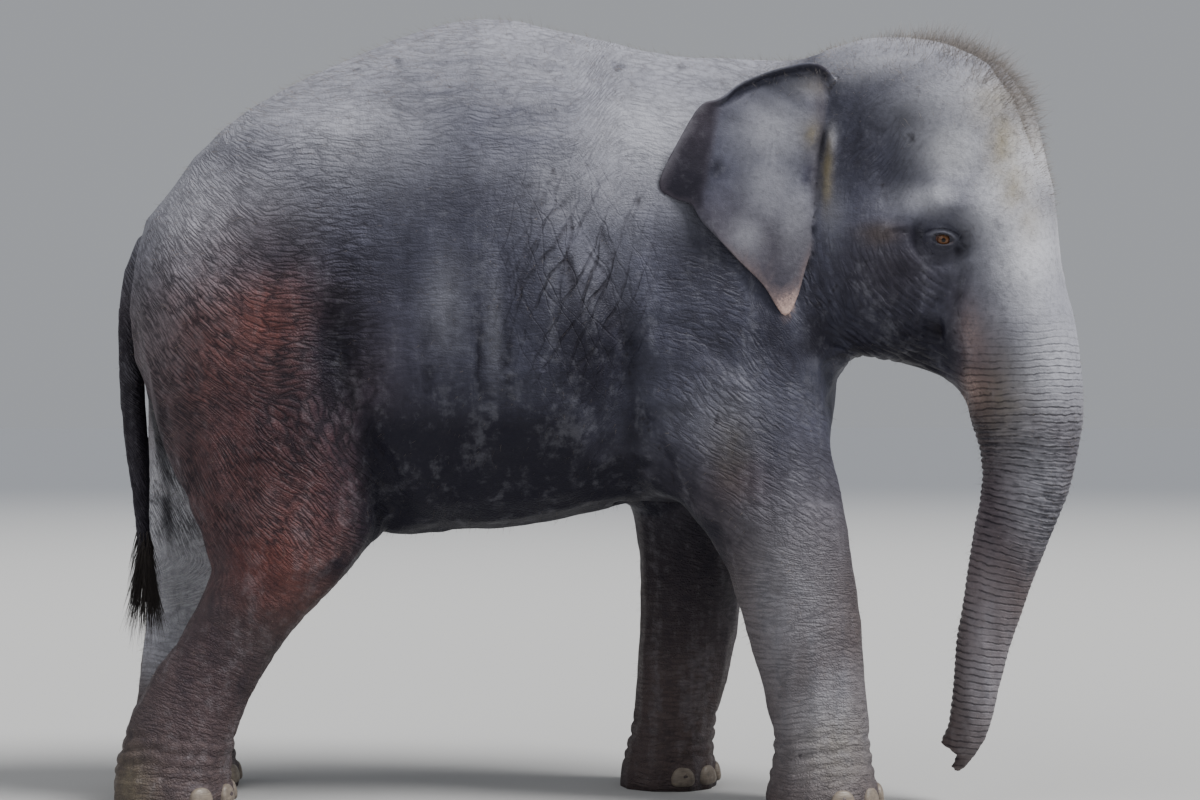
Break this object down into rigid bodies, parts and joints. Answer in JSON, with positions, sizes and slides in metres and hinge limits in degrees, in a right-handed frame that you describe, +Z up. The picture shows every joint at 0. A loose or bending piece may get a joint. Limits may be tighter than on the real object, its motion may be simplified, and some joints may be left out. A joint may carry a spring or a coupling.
{
  "type": "elephant",
  "caption": "Young Asian elephant standing still with its head turned to its right, trunk hanging; a life-size animal figure for scenes.",
  "frame": {"origin": "on the ground, under the middle of the animal's overall box", "axes": "+X forward along the body, +Y to the animal's left, +Z up"},
  "size_m": [2.3814, 0.8368, 1.933],
  "materials": {
    "skin": "dry grey wrinkled hide with sparse bristles",
    "trunk_skin": "dry grey-brown hide ringed with wrinkles",
    "leg_skin": "grey-brown hide stained with earth",
    "ear_skin": "thin grey hide, blotched pink-tan at the lobe",
    "eye": "moist, amber-brown iris",
    "tail_hair": "coarse black hair",
    "nail": "dull horn"
  },
  "bodies": {
    "root": {"head": "skin", "jaw": "skin", "neck": "skin", "chest": "skin", "belly": "skin", "rump": "skin", "tail": "skin", "trunk_1": "trunk_skin", "trunk_2": "trunk_skin", "trunk_3": "trunk_skin", "trunk_4": "trunk_skin", "leg_fore_right_upper": "leg_skin", "leg_fore_right_lower": "leg_skin", "leg_fore_left_upper": "leg_skin", "leg_fore_left_lower": "leg_skin", "leg_hind_right_upper": "leg_skin", "leg_hind_right_lower": "leg_skin", "leg_hind_left_upper": "leg_skin", "leg_hind_left_lower": "leg_skin", "foot_fore_right": "leg_skin", "foot_fore_left": "leg_skin", "foot_hind_right": "leg_skin", "foot_hind_left": "leg_skin", "ear_right": "ear_skin", "ear_left": "ear_skin", "eye_right": "eye", "eye_left": "eye", "tail_tuft": "tail_hair", "nail_fore_right_1": "nail", "nail_fore_right_2": "nail", "nail_fore_right_3": "nail", "nail_fore_right_4": "nail", "nail_fore_right_5": "nail", "nail_fore_left_1": "nail", "nail_fore_left_2": "nail", "nail_fore_left_3": "nail", "nail_fore_left_4": "nail", "nail_fore_left_5": "nail", "nail_hind_right_1": "nail", "nail_hind_right_2": "nail", "nail_hind_right_3": "nail", "nail_hind_right_4": "nail", "nail_hind_left_1": "nail", "nail_hind_left_2": "nail", "nail_hind_left_3": "nail", "nail_hind_left_4": "nail"}
  },
  "joints": []
}
